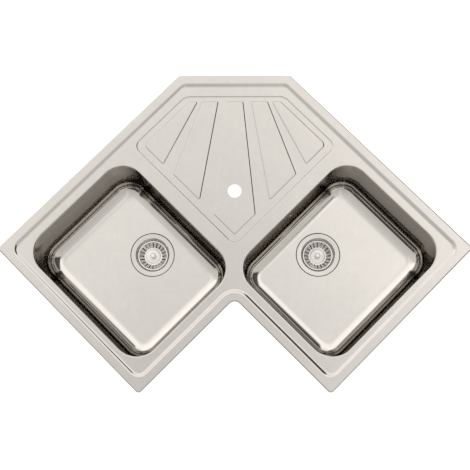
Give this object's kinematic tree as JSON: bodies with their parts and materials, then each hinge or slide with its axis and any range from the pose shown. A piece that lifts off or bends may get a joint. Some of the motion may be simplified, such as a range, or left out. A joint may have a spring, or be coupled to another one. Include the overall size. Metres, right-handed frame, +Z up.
{
  "type": "corner kitchen sink",
  "caption": "Corner kitchen sink in pressed stainless steel: a fluted drainer deck between deep bowls on the legs of an L, with basket wastes, an overflow, a rim seal and clamps.",
  "frame": {"origin": "centre of the tap hole on the deck's top face", "axes": "+X along the front to the right bowl's side, +Y towards the corner of the room, +Z up"},
  "size_m": [1.1718, 0.7967, 0.2675],
  "materials": {
    "sheet_steel": "satin",
    "polished_steel": "polished",
    "zinc_steel": "zinc plated",
    "brass": "turned",
    "black_rubber": "matt",
    "grey_pad": "matt",
    "foam": "matt",
    "white_plastic": "matt"
  },
  "bodies": {
    "sink": {"deck": "sheet_steel", "rim_seal": "foam", "left_bowl": "sheet_steel", "left_sound_pad": "grey_pad", "left_strainer_cup": "polished_steel", "left_flange_gasket": "black_rubber", "left_back_gasket": "black_rubber", "left_waste_body": "white_plastic", "left_body_insert": "brass", "left_waste_bolt": "polished_steel", "right_bowl": "sheet_steel", "right_sound_pad": "grey_pad", "right_strainer_cup": "polished_steel", "right_flange_gasket": "black_rubber", "right_back_gasket": "black_rubber", "right_waste_body": "white_plastic", "right_body_insert": "brass", "right_waste_bolt": "polished_steel", "overflow_gasket": "black_rubber", "overflow_elbow": "white_plastic", "overflow_screw": "polished_steel", "overflow_hose": "white_plastic", "hose_clips": "zinc_steel", "clamp_brackets": "zinc_steel", "clamp_bolts": "zinc_steel"},
    "left_basket_set": {"left_basket": "polished_steel", "left_basket_seal": "black_rubber", "left_basket_knob": "polished_steel", "left_basket_peg": "polished_steel"},
    "right_basket_set": {"right_basket": "polished_steel", "right_basket_seal": "black_rubber", "right_basket_knob": "polished_steel", "right_basket_peg": "polished_steel"},
    "nut_1": {"wing_nut_1": "zinc_steel"},
    "claw_1": {"clamp_claw_1": "zinc_steel"},
    "nut_2": {"wing_nut_2": "zinc_steel"},
    "claw_2": {"clamp_claw_2": "zinc_steel"},
    "nut_3": {"wing_nut_3": "zinc_steel"},
    "claw_3": {"clamp_claw_3": "zinc_steel"},
    "nut_4": {"wing_nut_4": "zinc_steel"},
    "claw_4": {"clamp_claw_4": "zinc_steel"},
    "nut_5": {"wing_nut_5": "zinc_steel"},
    "claw_5": {"clamp_claw_5": "zinc_steel"},
    "nut_6": {"wing_nut_6": "zinc_steel"},
    "claw_6": {"clamp_claw_6": "zinc_steel"},
    "nut_7": {"wing_nut_7": "zinc_steel"},
    "claw_7": {"clamp_claw_7": "zinc_steel"},
    "nut_8": {"wing_nut_8": "zinc_steel"},
    "claw_8": {"clamp_claw_8": "zinc_steel"},
    "nut_9": {"wing_nut_9": "zinc_steel"},
    "claw_9": {"clamp_claw_9": "zinc_steel"},
    "nut_10": {"wing_nut_10": "zinc_steel"},
    "claw_10": {"clamp_claw_10": "zinc_steel"}
  },
  "joints": [
    {"name": "left_basket_lift", "type": "slide", "parent": "sink", "child": "left_basket_set", "axis": [0, 0, 1], "range_m": [0, 0.06]},
    {"name": "right_basket_lift", "type": "slide", "parent": "sink", "child": "right_basket_set", "axis": [0, 0, 1], "range_m": [0, 0.06]},
    {"name": "wing_nut_1_travel", "type": "slide", "parent": "sink", "child": "nut_1", "axis": [0, 0, 1], "range_m": [0, 0.0155]},
    {"name": "clamp_claw_1_swing", "type": "hinge", "parent": "nut_1", "child": "claw_1", "pos_m": [0.19445, 0.21119, -0.055], "axis": [0, 0, 1], "range_deg": [0, 90]},
    {"name": "wing_nut_2_travel", "type": "slide", "parent": "sink", "child": "nut_2", "axis": [0, 0, 1], "range_m": [0, 0.0155]},
    {"name": "clamp_claw_2_swing", "type": "hinge", "parent": "nut_2", "child": "claw_2", "pos_m": [-0.19445, 0.21119, -0.055], "axis": [0, 0, 1], "range_deg": [0, 90]},
    {"name": "wing_nut_3_travel", "type": "slide", "parent": "sink", "child": "nut_3", "axis": [0, 0, 1], "range_m": [0, 0.0155]},
    {"name": "clamp_claw_3_swing", "type": "hinge", "parent": "nut_3", "child": "claw_3", "pos_m": [0.42073, -0.01508, -0.055], "axis": [0, 0, 1], "range_deg": [0, 90]},
    {"name": "wing_nut_4_travel", "type": "slide", "parent": "sink", "child": "nut_4", "axis": [0, 0, 1], "range_m": [0, 0.0155]},
    {"name": "clamp_claw_4_swing", "type": "hinge", "parent": "nut_4", "child": "claw_4", "pos_m": [-0.42073, -0.01508, -0.055], "axis": [0, 0, 1], "range_deg": [0, 90]},
    {"name": "wing_nut_5_travel", "type": "slide", "parent": "sink", "child": "nut_5", "axis": [0, 0, 1], "range_m": [0, 0.0155]},
    {"name": "clamp_claw_5_swing", "type": "hinge", "parent": "nut_5", "child": "claw_5", "pos_m": [0.4773, -0.22014, -0.055], "axis": [0, 0, 1], "range_deg": [0, 90]},
    {"name": "wing_nut_6_travel", "type": "slide", "parent": "sink", "child": "nut_6", "axis": [0, 0, 1], "range_m": [0, 0.0155]},
    {"name": "clamp_claw_6_swing", "type": "hinge", "parent": "nut_6", "child": "claw_6", "pos_m": [-0.4773, -0.22014, -0.055], "axis": [0, 0, 1], "range_deg": [0, 90]},
    {"name": "wing_nut_7_travel", "type": "slide", "parent": "sink", "child": "nut_7", "axis": [0, 0, 1], "range_m": [0, 0.0155]},
    {"name": "clamp_claw_7_swing", "type": "hinge", "parent": "nut_7", "child": "claw_7", "pos_m": [0.30618, -0.39126, -0.055], "axis": [0, 0, 1], "range_deg": [0, 90]},
    {"name": "wing_nut_8_travel", "type": "slide", "parent": "sink", "child": "nut_8", "axis": [0, 0, 1], "range_m": [0, 0.0155]},
    {"name": "clamp_claw_8_swing", "type": "hinge", "parent": "nut_8", "child": "claw_8", "pos_m": [-0.30618, -0.39126, -0.055], "axis": [0, 0, 1], "range_deg": [0, 90]},
    {"name": "wing_nut_9_travel", "type": "slide", "parent": "sink", "child": "nut_9", "axis": [0, 0, 1], "range_m": [0, 0.0155]},
    {"name": "clamp_claw_9_swing", "type": "hinge", "parent": "nut_9", "child": "claw_9", "pos_m": [0.1294, -0.36298, -0.055], "axis": [0, 0, 1], "range_deg": [0, 90]},
    {"name": "wing_nut_10_travel", "type": "slide", "parent": "sink", "child": "nut_10", "axis": [0, 0, 1], "range_m": [0, 0.0155]},
    {"name": "clamp_claw_10_swing", "type": "hinge", "parent": "nut_10", "child": "claw_10", "pos_m": [-0.1294, -0.36298, -0.055], "axis": [0, 0, 1], "range_deg": [0, 90]}
  ]
}
